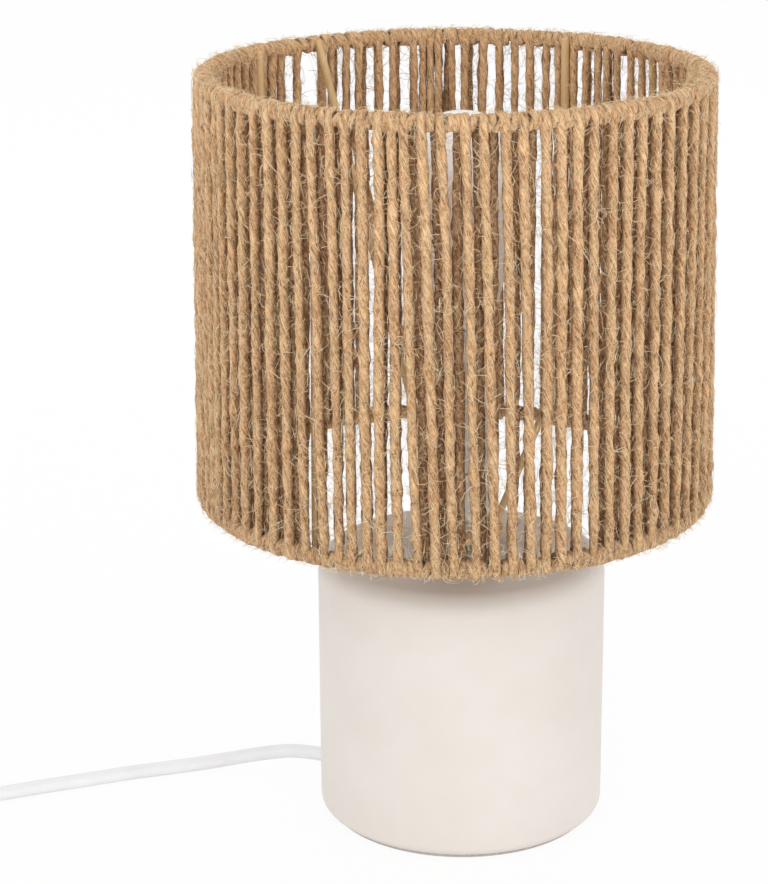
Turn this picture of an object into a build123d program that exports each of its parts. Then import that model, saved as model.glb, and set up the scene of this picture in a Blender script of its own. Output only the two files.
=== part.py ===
from build123d import *

import math
import os

# Table lamp: a drum shade of jute string on a wire frame, over a glazed ceramic cylinder.
# Millimetres. Origin on the table under the middle of the base, +Z up, the front faces -Y.

# Base
base_d = 113.0
base_h = 108.0
base_wall = 6.0
base_top_t = 6.0
base_shoulder_r = 8.0
base_foot_r = 4.0
pad_t = 1.5

# Stem, its nuts and washers
stem_d = 10.0
stem_bore_d = 7.0
stem_below = 9.0
stem_in_holder = 7.5
seat_washer_d = 22.0
seat_washer_t = 1.5
nut_across = 14.0
inner_nut_t = 5.0
stem_nut_t = 6.0

# Shade carrier, arms and struts
carrier_d = 33.0
carrier_t = 2.0
arm_d = 2.8
arm_foot_r = 13.5
arm_angles = (-35.0, 85.0, 205.0)
strut_d = 3.4
strut_angles = (31.0, -56.0, 120.0, 214.0)

# Shade
shade_bottom_d = 200.0
shade_top_d = 194.4
shade_z = 132.0
shade_h = 167.0
shade_shift_x = -2.9
ring_wire_d = 3.0
wrap_d = 7.2
string_d = 3.4
string_count = 100
string_off_wire = 2.5
panel_count = 10
panel_start = 22.5
string_sides = 6
wrap_sides = 8
wire_sides = 6

# Lamp holder
holder_d = 28.0
holder_neck_d = 16.0
holder_neck_h = 3.5
holder_cone_h = 3.5
holder_cap_h = 25.5
holder_wall = 1.8
holder_groove_h = 3.5
holder_groove_depth = 1.4
holder_skirt_h = 53.5
holder_skirt_d = 27.2
holder_plug_h = 4.0
holder_ledge_t = 1.5
holder_ledge_w = 3.6
socket_shell_t = 0.4
socket_shell_h = 17.0
socket_floor_h = 31.5
centre_leaf_t = 0.5
centre_leaf_w = 4.2
centre_leaf_in = 1.2
insert_drop = 0.5

# Bulb
bulb_dome_d = 55.0
bulb_dome_below = 12.0
bulb_dome_wall = 1.2
bulb_body_h = 43.7
bulb_collar_d = 26.4
bulb_collar_h = 3.0
bulb_above_holder = 0.8
bulb_cap_d = 13.9
bulb_cap_wall = 0.4
bulb_cap_h = 17.0
bulb_insulator_h = 5.8
bulb_tip_d = 5.2
bulb_tip_h = 3.0
bulb_facets = 36
bulb_dome_steps = 8
bulb_pole_angle = 86.0
bulb_flare_steps = 5
bulb_flare_power = 1.2

# Flex
cord_d = 5.8
cord_sides = 6
cord_exit_angle = 66.0
cord_exit_z = 8.5
grommet_proud = 4.5
grommet_flange_d = 11.2
grommet_flange_t = 2.0
grommet_wall = 1.05
lead_bend_r = 30.0

# Coil of the flex that is put away
coil_r = 42.5
coil_half_turns = 6
coil_gap = 0.5
tie_w = 6.0
tie_t = 0.5

# Inline switch
switch_l = 60.0
switch_w = 25.0
switch_base_h = 8.0
switch_cover_h = 8.5
switch_wall = 1.8
switch_corner = 4.0
switch_edge_bevel = 1.4
rocker_l = 19.0
rocker_w = 11.4
rocker_rise = 5.0
rocker_tilt = 7.0
rocker_pin_d = 2.4
rocker_lug_t = 1.6
rocker_end_clear = 1.2
rocker_pivot_z = 12.6
rocker_foot = 1.0
rocker_foot_slope = 1.5
rocker_belly = 1.8
rocker_crest = 0.6
rocker_crest_in = 1.2
rocker_end_in = 0.3
rocker_hollow = 0.4
contact_l = 18.0
contact_w = 3.0
contact_t = 0.8
contact_stand_h = 4.5

# Plug
plug_relief_l = 22.0
plug_relief_d = 10.0
plug_relief_wall = 0.9
plug_relief_sides = 12
plug_back_w = 15.0
plug_front_w = 33.0
plug_h = 13.4
plug_body_l = 32.0
plug_bevel = 3.5
plug_pin_d = 4.0
plug_pin_l = 19.0
plug_pin_spread = 18.6
plug_pin_seat = 8.0

# Clearances
fit_clear = 0.1
weld_clear = 0.1
wrap_clear = 0.3
hole_clear = 0.3
pin_clear = 0.08
cord_clear = 0.15

# Levels of the stack on the stem
floor_z = 0.0
base_r = base_d / 2
plate_z = base_h - base_top_t
seat_washer_z = base_h
stem_nut_z = seat_washer_z + seat_washer_t
carrier_z = stem_nut_z + stem_nut_t
holder_z = carrier_z + carrier_t
inner_nut_z = plate_z - inner_nut_t
stem_low = plate_z - stem_below
stem_top = holder_z + stem_in_holder

# Levels of the holder and the bulb
holder_seam_z = holder_z + holder_cap_h
skirt_z = holder_seam_z + holder_groove_h
skirt_top = skirt_z + holder_skirt_h
skirt_bottom = holder_seam_z - holder_plug_h
insert_z = skirt_bottom + holder_ledge_t
socket_floor_z = insert_z + socket_floor_h
bulb_body_z = skirt_top + bulb_above_holder
bulb_cap_z = bulb_body_z - bulb_cap_h
bulb_insulator_z = bulb_cap_z - bulb_insulator_h
bulb_tip_z = bulb_insulator_z - bulb_tip_h
bulb_rim_z = bulb_body_z + bulb_body_h
bulb_centre_z = bulb_rim_z + bulb_dome_below
bulb_dome_r = bulb_dome_d / 2
bulb_rim_r = math.sqrt(bulb_dome_r**2 - bulb_dome_below**2)
insert_r = holder_skirt_d / 2 - holder_wall - fit_clear
shell_r = bulb_cap_d / 2 + 2 * fit_clear
insert_bore_r = shell_r + socket_shell_t + 2 * fit_clear

# Radii and levels of the shade
wrap_r = wrap_d / 2
ring_low_r = shade_bottom_d / 2 - wrap_r
ring_high_r = shade_top_d / 2 - wrap_r
ring_low_z = shade_z + wrap_r
ring_high_z = shade_z + shade_h - wrap_r
panel_angle = 360.0 / panel_count
string_pitch = 360.0 / string_count

# The flex: where it leaves the base, and the switch that it runs to
cord_r = cord_d / 2
exit_angle = math.radians(90.0 + cord_exit_angle)
exit_dir = Vector(math.cos(exit_angle), math.sin(exit_angle), 0)
cord_exit = exit_dir * (base_r + grommet_proud) + Vector(0, 0, cord_exit_z)
switch_heading = 200.0
switch_dir = Vector(math.cos(math.radians(switch_heading)), math.sin(math.radians(switch_heading)), 0)
switch_in = Vector(-236.0, -15.5, switch_base_h)
switch_out = switch_in + switch_dir * switch_l
cord_run = 12.0

# The flex's free stretches, as points chosen by hand
lead_route = [
    cord_exit,
    cord_exit + exit_dir * cord_run,
    Vector(-78.5, 31.6, 6.6),
    Vector(-91.0, 32.2, 4.4),
    Vector(-104.0, 30.3, 2.9),
    Vector(-119.0, 25.4, 2.9),
    Vector(-136.0, 20.6, 2.9),
    Vector(-154.0, 13.6, 2.9),
    Vector(-171.0, 7.8, 2.9),
    Vector(-186.0, 1.4, 2.9),
    Vector(-199.0, -3.2, 3.9),
    Vector(-212.2, -7.4, 6.2),
    switch_in - switch_dir * cord_run,
    switch_in,
]

# The coil's layers, its start beyond the switch and its first centre
layer_step = cord_d + coil_gap
coil_z = floor_z + cord_r + tie_t + coil_gap / 2
coil_start = Vector(-339.0, -56.0, coil_z)
coil_side = Vector(switch_dir.Y, -switch_dir.X, 0)

link_route = [
    switch_out,
    switch_out + switch_dir * cord_run,
    coil_start - switch_dir * (cord_d + cord_run),
    coil_start - switch_dir * cord_d,
]


def turned(points):
    """A closed outline of radius and height, turned about the Z axis."""
    outline = Polyline(*points, close=True)
    return revolve(Plane.XZ * make_face(outline), Axis.Z)


def round_corner(centre, radius, start, end, steps):
    """Points on an arc of an outline, from one angle in degrees to another."""
    angles = [math.radians(start + (end - start) * index / steps) for index in range(steps + 1)]
    return [(centre[0] + radius * math.cos(turn), centre[1] + radius * math.sin(turn)) for turn in angles]


def flat_sided(sections):
    """A closed solid between outlines of equally many corners, with a flat four-cornered face on each side."""
    faces = [Face(Polyline(*sections[0], close=True)), Face(Polyline(*sections[-1], close=True))]
    for lower, upper in zip(sections, sections[1:]):
        for index in range(len(lower)):
            corners = [lower[index - 1], lower[index], upper[index], upper[index - 1]]
            faces.append(Face(Polyline(*corners, close=True)))
    return Solid(Shell(faces))


def faceted(stations):
    """A round body in flat facets, through (radius, height) stations from the bottom up."""
    turns = [2 * math.pi * index / bulb_facets for index in range(bulb_facets)]
    return flat_sided([
        [(radius * math.cos(turn), radius * math.sin(turn), height) for turn in turns]
        for radius, height in stations
    ])


def rod(start, end, diameter):
    """A straight round bar between two points."""
    line = end - start
    return Plane(origin=start, z_dir=line) * extrude(Circle(diameter / 2), line.length)


def wire_bar(start, end, diameter):
    """A straight wire between two points, in flat facets."""
    line = end - start
    section = RegularPolygon(diameter / 2, wire_sides)
    return Plane(origin=start, z_dir=line) * extrude(section, line.length)


def tube(outer_d, inner_d, height):
    """A short round tube standing on the XY plane."""
    ring = Circle(outer_d / 2) - Circle(inner_d / 2)
    return extrude(ring, height)


def shade_point(angle, radius, height):
    """A point of the shade, its angle counted from the back towards the right."""
    turn = math.radians(angle)
    return Vector(shade_shift_x + radius * math.sin(turn), radius * math.cos(turn), height)


def cord_section(start, heading):
    """The flex's section, square to its heading, with a corner down."""
    level = Vector(-heading.Y, heading.X, 0)
    plane = Plane(origin=start, x_dir=level, z_dir=heading)
    return plane * RegularPolygon(cord_r, cord_sides)


def stem_point(angle, radius, height):
    """A point about the stem, its angle counted as the shade's."""
    turn = math.radians(angle)
    return Vector(radius * math.sin(turn), radius * math.cos(turn), height)


def corner_radii(route):
    """The bend radius at each inner point: as large as its two runs allow."""
    radii = []
    for before, here, after in zip(route, route[1:], route[2:]):
        run_in = here - before
        run_out = after - here
        shorter = min(run_in.length, run_out.length)
        half_turn = math.radians(run_in.get_angle(run_out)) / 2
        radii.append(0.45 * shorter / math.tan(half_turn))
    return radii


def cord_stretch(name, route):
    """A round flex along straight runs joined by tangent arcs."""
    radii = corner_radii(route)
    path = FilletPolyline(*route, radius=radii)
    section = cord_section(route[0], route[1] - route[0])
    flex = sweep(section, path=path)
    length = path.length
    expected = section.area * length
    print(f"{name}: length {length:.1f}, least radius {min(radii):.1f},",
          f"volume over section times length {flex.volume / expected:.5f}")
    return flex


def ceramic_base():
    """The glazed cylinder: open below, with holes for the stem and the flex."""
    inner_r = base_r - base_wall
    stem_hole_r = stem_d / 2 + hole_clear
    shoulder = (base_r - base_shoulder_r, base_h - base_shoulder_r)
    foot = (base_r - base_foot_r, pad_t + base_foot_r)
    body = turned([
        (inner_r, pad_t),
        *round_corner(foot, base_foot_r, -90, 0, 3),
        *round_corner(shoulder, base_shoulder_r, 0, 90, 5),
        (stem_hole_r, base_h), (stem_hole_r, plate_z), (inner_r, plate_z),
    ])
    hole_r = cord_r + cord_clear + grommet_wall + fit_clear
    hole_start = Vector(0, 0, cord_exit_z)
    return body - rod(hole_start, hole_start + exit_dir * base_d, 2 * hole_r)


def felt_pad():
    """The disc of felt under the base's foot."""
    return extrude(Circle(base_r - base_foot_r), pad_t)


def cord_grommet():
    """The bush in the base's wall that the flex leaves through."""
    bore_r = cord_r + cord_clear
    sleeve_r = bore_r + grommet_wall
    flange_r = grommet_flange_d / 2
    inside = base_wall + 2 * hole_clear
    outline = [
        (bore_r, -inside), (sleeve_r, -inside), (sleeve_r, 0), (flange_r, 0), (flange_r, grommet_flange_t),
        (sleeve_r, grommet_proud), (bore_r, grommet_proud),
    ]
    bush = turned(outline)
    wall_point = exit_dir * base_r + Vector(0, 0, cord_exit_z)
    return Plane(origin=wall_point, z_dir=exit_dir) * bush


def stem():
    """The threaded tube that carries everything above the base."""
    return Pos(0, 0, stem_low) * tube(stem_d, stem_bore_d, stem_top - stem_low)


def hex_nut(height):
    """A six-sided nut for the stem."""
    across_corners = nut_across / math.cos(math.pi / 6)
    bore = Circle(stem_d / 2 + fit_clear)
    return extrude(RegularPolygon(across_corners / 2, 6) - bore, height)


def seat_washer():
    """The washer between the base's top and the stem's nut."""
    return Pos(0, 0, seat_washer_z) * tube(seat_washer_d, stem_d + 2 * fit_clear, seat_washer_t)


def holder_cap():
    """The holder's lower cap: a threaded neck, a cone and a cylinder with a recess for the shell above."""
    neck_r = holder_neck_d / 2
    cap_r = holder_d / 2
    bore_r = stem_d / 2 + fit_clear
    cone_z = holder_z + holder_neck_h
    wall_z = cone_z + holder_cone_h
    room_r = cap_r - holder_wall
    neck_top = stem_top + holder_wall
    return turned([
        (bore_r, holder_z), (neck_r, holder_z), (neck_r, cone_z), (cap_r, wall_z),
        (cap_r, holder_seam_z), (room_r, holder_seam_z), (room_r, neck_top), (bore_r, neck_top),
    ])


def holder_skirt():
    """The holder's upper shell: a plug in the cap, a groove, and the tube round the socket."""
    skirt_r = holder_skirt_d / 2
    plug_r = holder_d / 2 - holder_wall - fit_clear
    groove_r = holder_d / 2 - holder_groove_depth
    inner_r = skirt_r - holder_wall
    ledge_r = inner_r - holder_ledge_w
    return turned([
        (ledge_r, skirt_bottom), (plug_r, skirt_bottom), (plug_r, holder_seam_z), (groove_r, holder_seam_z),
        (groove_r, skirt_z), (skirt_r, skirt_z), (skirt_r, skirt_top), (inner_r, skirt_top),
        (inner_r, insert_z), (ledge_r, insert_z),
    ])


def holder_insert():
    """The moulded block inside the skirt, with the well that the bulb's cap goes into."""
    top_z = skirt_top - insert_drop
    return turned([(0, insert_z), (insert_r, insert_z), (insert_r, top_z),
                   (insert_bore_r, top_z), (insert_bore_r, socket_floor_z), (0, socket_floor_z)])


def socket_shell():
    """The brass sleeve that the bulb's cap screws into."""
    low_z = skirt_top - 2 * insert_drop - socket_shell_h
    return Pos(0, 0, low_z) * tube(2 * (shell_r + socket_shell_t), 2 * shell_r, socket_shell_h)


def centre_contact():
    """The spring leaf on the socket's floor, up against the bulb's tip."""
    half = insert_bore_r - centre_leaf_in
    outline = [
        (-half, socket_floor_z), (-half / 3, socket_floor_z), (0, bulb_tip_z - centre_leaf_t),
        (half / 2, bulb_tip_z - centre_leaf_t), (half / 2, bulb_tip_z),
        (-centre_leaf_t, bulb_tip_z), (-half / 3 - centre_leaf_t, socket_floor_z + centre_leaf_t),
        (-half, socket_floor_z + centre_leaf_t),
    ]
    face = make_face(Polyline(*outline, close=True))
    return extrude(Plane.XZ * face, centre_leaf_w / 2, both=True)


def bulb_dome():
    """The opal dome, a hollow part of a sphere."""
    skins = []
    for radius in (bulb_dome_r, bulb_dome_r - bulb_dome_wall):
        rim_angle = -math.degrees(math.asin(bulb_dome_below / radius))
        stations = round_corner((0, bulb_centre_z), radius, rim_angle, bulb_pole_angle, bulb_dome_steps)
        skins.append(faceted(stations))
    return skins[0] - skins[1]


def bulb_body():
    """The flared body under the dome, with the plug that its screw cap is crimped on."""
    collar_r = bulb_collar_d / 2
    collar_top = bulb_body_z + bulb_collar_h
    rise = bulb_rim_z - collar_top
    stations = [(collar_r, bulb_body_z)]
    for index in range(bulb_flare_steps + 1):
        share = index / bulb_flare_steps
        stations.append((collar_r + (bulb_rim_r - collar_r) * share**bulb_flare_power, collar_top + rise * share))
    plug_r = bulb_cap_d / 2 - bulb_cap_wall - fit_clear
    tip_r = bulb_tip_d / 2
    plug = turned([
        (0, bulb_insulator_z), (tip_r + bulb_cap_wall, bulb_insulator_z), (bulb_cap_d / 2, bulb_cap_z - fit_clear),
        (plug_r, bulb_cap_z - fit_clear), (plug_r, bulb_body_z), (0, bulb_body_z),
    ])
    return faceted(stations) + plug


def bulb_screw_cap():
    """The bulb's metal screw cap."""
    return Pos(0, 0, bulb_cap_z) * tube(bulb_cap_d, bulb_cap_d - 2 * bulb_cap_wall, bulb_cap_h)


def bulb_tip():
    """The bulb's end contact."""
    tip_r = bulb_tip_d / 2
    return turned([(0, bulb_tip_z), (tip_r / 2, bulb_tip_z), (tip_r, bulb_insulator_z), (0, bulb_insulator_z)])


def carrier_plate():
    """The plate clamped on the stem that the three arms are welded to."""
    return Pos(0, 0, carrier_z) * tube(carrier_d, stem_d + 2 * fit_clear, carrier_t)


def arm_ends(angle):
    """Where an arm's axis starts on the carrier and where it ends at the top ring."""
    end_r = ring_high_r - ring_wire_d / 2 - weld_clear - arm_d / 2
    return stem_point(angle, arm_foot_r, holder_z), shade_point(angle, end_r, ring_high_z)


def spider_arms():
    """The three slanted wires from the carrier up to the top ring."""
    arms = []
    for angle in arm_angles:
        foot, head = arm_ends(angle)
        below = foot - (head - foot).normalized() * arm_d
        bar = wire_bar(below, head, arm_d)
        cutter = Pos(0, 0, holder_z - base_h / 2) * Box(base_d, base_d, base_h)
        arms.append((bar - cutter).solid())
    return Compound(arms)


def wire_ring(radius, height):
    """A wire bent into a level ring about the shade's axis, in as many facets as its wrap."""
    section = RegularPolygon(ring_wire_d / 2, wire_sides)
    arcs = [Rot(0, 0, index * panel_angle) * wrap_arc(radius, height, section) for index in range(panel_count)]
    return Pos(shade_shift_x, 0, 0) * Rot(0, 0, panel_start) * arcs[0].fuse(*arcs[1:])


def strut_line(angle):
    """The axis of an upright strut, welded inside both rings."""
    inset = ring_wire_d / 2 + weld_clear + strut_d / 2
    low = shade_point(angle, ring_low_r - inset, ring_low_z - ring_wire_d / 2)
    high = shade_point(angle, ring_high_r - inset, ring_high_z + ring_wire_d / 2)
    return low, high


def shade_struts():
    """The four upright struts between the rings."""
    bars = []
    for angle in strut_angles:
        low, high = strut_line(angle)
        bars.append(wire_bar(low, high, strut_d).solid())
    return Compound(bars)


def string_bar(turn, side):
    """One upright string, outside the rings (side 1) or inside them (side -1), at an angle in degrees."""
    across = Vector(math.cos(math.radians(turn)), math.sin(math.radians(turn)), 0)
    past_bore = ring_wire_d / 2 + wrap_clear + fit_clear
    offset = side * (wrap_r - string_d / 2)
    low = across * (ring_low_r + offset) + Vector(0, 0, ring_low_z + past_bore)
    high = across * (ring_high_r + offset) + Vector(0, 0, ring_high_z - past_bore)
    plane = Plane(origin=low, x_dir=across, z_dir=high - low)
    return plane * extrude(RegularPolygon(string_d / 2, string_sides), (high - low).length)


def beside_wires(turn):
    """Whether an inner string at this angle stands clear of every strut and arm."""
    wires = [90 - angle for angle in strut_angles + arm_angles]
    return all(abs((turn - wire + 180) % 360 - 180) > string_off_wire for wire in wires)


def wrap_arc(ring_r, height, section):
    """One panel's stretch of a tube round a ring, in straight facets of two strings each."""
    facet = 2 * string_pitch
    corner_r = ring_r / math.cos(math.radians(facet / 4))
    flat_r = corner_r * math.cos(math.radians(facet / 2))
    corners = [(index + 0.5) * facet for index in range(string_count // panel_count // 2)]
    places = [(flat_r, 0.0)] + [(corner_r, turn) for turn in corners] + [(flat_r, panel_angle)]
    points = []
    for radius, turn in places:
        angle = math.radians(turn)
        points.append(Vector(radius * math.cos(angle), radius * math.sin(angle), height))
    section = Plane(origin=points[0], x_dir=(1, 0, 0), z_dir=(0, 1, 0)) * section
    return sweep(section, path=Polyline(*points), transition=Transition.RIGHT)


def jute_winding():
    """The string: wrapped round both rings and strung outside and inside them, in equal panels."""
    per_panel = string_count // panel_count
    pieces = []
    for radius, height in ((ring_low_r, ring_low_z), (ring_high_r, ring_high_z)):
        outer = RegularPolygon(wrap_r, wrap_sides, major_radius=False, rotation=180 / wrap_sides)
        inner = RegularPolygon(ring_wire_d / 2 + wrap_clear, wire_sides)
        pieces.append(wrap_arc(radius, height, outer) - wrap_arc(radius, height, inner))
    for index in range(per_panel):
        pieces.append(string_bar((index + 0.5) * string_pitch, 1))
    panel = pieces[0].fuse(*pieces[1:])
    frame_bars = []
    for angle in strut_angles:
        low, high = strut_line(angle)
        beyond = (high - low).normalized() * hole_clear
        frame_bars.append(wire_bar(low - beyond, high + beyond, strut_d + 2 * hole_clear))
    for angle in arm_angles:
        foot, head = arm_ends(angle)
        beyond = (head - foot).normalized() * hole_clear
        frame_bars.append(wire_bar(foot, head + beyond, arm_d + 2 * hole_clear))
    panels = []
    for number in range(panel_count):
        start = panel_start + number * panel_angle
        turns = [index * string_pitch for index in range(1, per_panel)]
        inside = [string_bar(turn, -1) for turn in turns if beside_wires(start + turn)]
        piece = Pos(shade_shift_x, 0, 0) * Rot(0, 0, start) * panel.fuse(*inside)
        for bar in frame_bars:
            if (piece & bar) is not None:
                piece = piece - bar
        panels.append(piece.solid())
    return Compound(panels)


def lead_inside():
    """The flex inside the base and the stem, from the grommet up to the holder's block."""
    start = cord_exit
    corner = Vector(0, 0, cord_exit_z)
    end = Vector(0, 0, insert_z)
    path = FilletPolyline(start, corner, end, radius=lead_bend_r)
    return sweep(cord_section(start, corner - start), path=path)


def coil_halves():
    """The coil's half turns as start, middle and end points, and the heading at its end."""
    halves = []
    radii = [coil_r - index * layer_step / 2 for index in range(coil_half_turns)]
    climb_r = radii[-1] - layer_step / 2
    sequence = [(radius, 0.0) for radius in radii]
    sequence += [(climb_r, layer_step)]
    sequence += [(radius, 0.0) for radius in reversed(radii)]
    here = coil_start
    heading = switch_dir
    for radius, rise in sequence:
        side = Vector(heading.Y, -heading.X, 0)
        lift = Vector(0, 0, rise)
        centre = here + side * radius + lift / 2
        half_span = (side * radius + lift / 2).length
        halves.append((here, centre + heading * half_span, here + side * (2 * radius) + lift))
        here = halves[-1][2]
        heading = heading * -1
    return halves, here, heading


def coil_path():
    """The coil's centreline: straight ends one diameter long, half turns between."""
    halves, end, heading = coil_halves()
    edges = [Edge.make_line(coil_start - switch_dir * cord_d, coil_start)]
    edges += [Edge.make_three_point_arc(*half) for half in halves]
    edges.append(Edge.make_line(end, end + heading * cord_d))
    return Wire(edges)


def coil_least_gap(path):
    """The least distance between the coil's surface and itself, on points of its centreline."""
    steps = int(path.length / (cord_d / 2))
    points = [path.position_at(index / steps) for index in range(steps + 1)]
    apart = int(3 * cord_d / (path.length / steps))
    least = min(
        (points[i] - points[j]).length
        for i in range(len(points)) for j in range(i + apart, len(points))
    )
    return least - cord_d


def cord_coil():
    """The flex that is put away, as one unbroken tube in two layers."""
    path = coil_path()
    section = cord_section(path @ 0, switch_dir)
    coil = sweep(section, path=path)
    expected = section.area * path.length
    print(f"coil: length {path.length:.1f}, least gap to itself {coil_least_gap(path):.2f},",
          f"volume over section times length {coil.volume / expected:.5f}")
    return coil


def coil_tie():
    """The band round the coil's turns, on the side away from the lamp."""
    halves, _, _ = coil_halves()
    centre = halves[0][0] + coil_side * coil_r
    across = switch_dir
    inner = coil_r - coil_half_turns * layer_step / 2 - cord_r - hole_clear
    outer = coil_r + cord_r + hole_clear
    low = coil_z - cord_r - coil_gap / 4
    high = coil_z + layer_step + cord_r + coil_gap / 2
    middle = centre + across * ((inner + outer) / 2)
    middle = Vector(middle.X, middle.Y, (low + high) / 2)
    plane = Plane(origin=middle, x_dir=across, z_dir=coil_side)
    band = Rectangle(outer - inner + 2 * tie_t, high - low + 2 * tie_t) - Rectangle(outer - inner, high - low)
    return plane * extrude(band, tie_w / 2, both=True)


def bevelled(length, width, bevel):
    """A rectangle with its corners cut."""
    plate = Rectangle(length, width)
    return chamfer(plate.vertices(), bevel)


def at_switch(shape):
    """Places a shape drawn along X on the flex where the switch is."""
    middle = (switch_in + switch_out) / 2
    return Pos(middle.X, middle.Y, floor_z) * Rot(0, 0, switch_heading) * shape


def switch_half(height):
    """A rounded tray, hollow on one side, that makes half of the switch's housing."""
    block = extrude(bevelled(switch_l, switch_w, switch_corner), height)
    block = chamfer(block.faces().sort_by(Axis.Z)[0].edges(), switch_edge_bevel)
    room = bevelled(switch_l - 2 * switch_wall, switch_w - 2 * switch_wall, switch_corner - switch_wall)
    return block - Pos(0, 0, switch_wall) * extrude(room, height)


def cord_ways():
    """The bores where the flex enters and leaves the switch."""
    bore = Rot(0, 90, 0) * Cylinder(cord_r + cord_clear, switch_l + 2 * cord_d)
    return Pos(0, 0, switch_base_h) * bore


def switch_base():
    """The lower half of the switch's housing."""
    return at_switch(switch_half(switch_base_h) - cord_ways())


def switch_cover():
    """The upper half of the switch's housing, with the rocker's window and its two lugs."""
    top_z = switch_base_h + switch_cover_h
    half = Pos(0, 0, top_z) * Rot(180, 0, 0) * switch_half(switch_cover_h)
    window = Box(rocker_l + 2 * rocker_end_clear, rocker_w + 2 * hole_clear, 3 * switch_wall)
    half -= Pos(0, 0, top_z) * window
    lug_h = top_z - switch_wall - rocker_pivot_z + rocker_pin_d
    lug_y = rocker_w / 2 + hole_clear + rocker_lug_t / 2
    for side in (-1, 1):
        lug = Box(2 * rocker_pin_d, rocker_lug_t, lug_h)
        half += Pos(0, side * lug_y, top_z - switch_wall - lug_h / 2) * lug
    pin_bore = Rot(90, 0, 0) * Cylinder(rocker_pin_d / 2 + pin_clear, 2 * lug_y + rocker_lug_t)
    half -= Pos(0, 0, rocker_pivot_z) * pin_bore
    return at_switch(half - cord_ways())


def switch_rocker():
    """The rocker, pressed down at one end, with its pivot pin."""
    half_l = rocker_l / 2
    crest_z = rocker_rise + rocker_crest
    outline = [
        (-half_l, rocker_foot), (rocker_foot_slope - half_l, -rocker_foot),
        (-rocker_pin_d, -rocker_belly), (rocker_pin_d, -rocker_belly),
        (half_l - rocker_foot_slope, -rocker_foot), (half_l, rocker_foot),
        (half_l - rocker_end_in, rocker_rise), (half_l - rocker_crest_in, crest_z),
        (0, rocker_rise - rocker_hollow),
        (rocker_crest_in - half_l, crest_z), (rocker_end_in - half_l, rocker_rise),
    ]
    body = extrude(Plane.XZ * make_face(Polyline(*outline, close=True)), rocker_w / 2, both=True)
    pin_l = rocker_w + 2 * (hole_clear + rocker_lug_t) - hole_clear
    pin = Rot(90, 0, 0) * Cylinder(rocker_pin_d / 2, pin_l)
    return at_switch(Pos(0, 0, rocker_pivot_z) * Rot(0, rocker_tilt, 0) * (body + pin))


def switch_contacts():
    """The two brass strips on the switch's floor, bent up at one end."""
    strips = []
    for side in (-1, 1):
        flat = Box(contact_l, contact_w, contact_t, align=(Align.CENTER, Align.CENTER, Align.MIN))
        stand = Pos(side * (contact_l - contact_t) / 2, 0, 0) * Box(
            contact_t, contact_w, contact_stand_h, align=(Align.CENTER, Align.CENTER, Align.MIN))
        strips.append(at_switch(Pos(0, side * contact_w, switch_wall) * (flat + stand)).solid())
    return Compound(strips)


def plug_frame():
    """The plane of the plug: its origin where the flex enters, its Z axis towards the pins."""
    _, _, heading = coil_halves()
    end = tail_route()[-1]
    return Plane(origin=end, x_dir=Vector(-heading.Y, heading.X, 0), z_dir=heading)


def tail_route():
    """The short stretch from the coil's top layer to the plug."""
    _, end, heading = coil_halves()
    side = Vector(-heading.Y, heading.X, 0)
    start = end + heading * cord_d
    drop = start.Z - plug_h / 2
    down = Vector(0, 0, -drop)
    return [
        start,
        start + heading * cord_run,
        start + heading * (2.2 * cord_run) - side * 1.4 + down * 0.5,
        start + heading * (3.4 * cord_run) - side * 2.0 + down,
        start + heading * (4.5 * cord_run) - side * 2.0 + down,
    ]


def plug_body():
    """The moulded two-pin plug: a tapered relief and a body that widens to its face."""
    relief = loft([
        RegularPolygon(cord_r + plug_relief_wall, plug_relief_sides),
        Pos(0, 0, plug_relief_l) * RegularPolygon(plug_relief_d / 2, plug_relief_sides),
    ], ruled=True)
    back = Pos(0, 0, plug_relief_l) * bevelled(plug_back_w, plug_h, plug_bevel)
    front = Pos(0, 0, plug_relief_l + plug_body_l) * bevelled(plug_front_w, plug_h, plug_bevel)
    body = relief + loft([back, front], ruled=True)
    for side in (-1, 1):
        seat_z = plug_relief_l + plug_body_l - plug_pin_seat
        body -= Pos(side * plug_pin_spread / 2, 0, seat_z) * extrude(
            Circle(plug_pin_d / 2 + fit_clear), plug_pin_seat)
    return plug_frame() * body


def plug_pins():
    """The plug's two round pins."""
    pins = []
    for side in (-1, 1):
        seat_z = plug_relief_l + plug_body_l - plug_pin_seat
        pin = extrude(Circle(plug_pin_d / 2), plug_pin_seat + plug_pin_l)
        pins.append((plug_frame() * (Pos(side * plug_pin_spread / 2, 0, seat_z) * pin)).solid())
    return Compound(pins)


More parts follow.
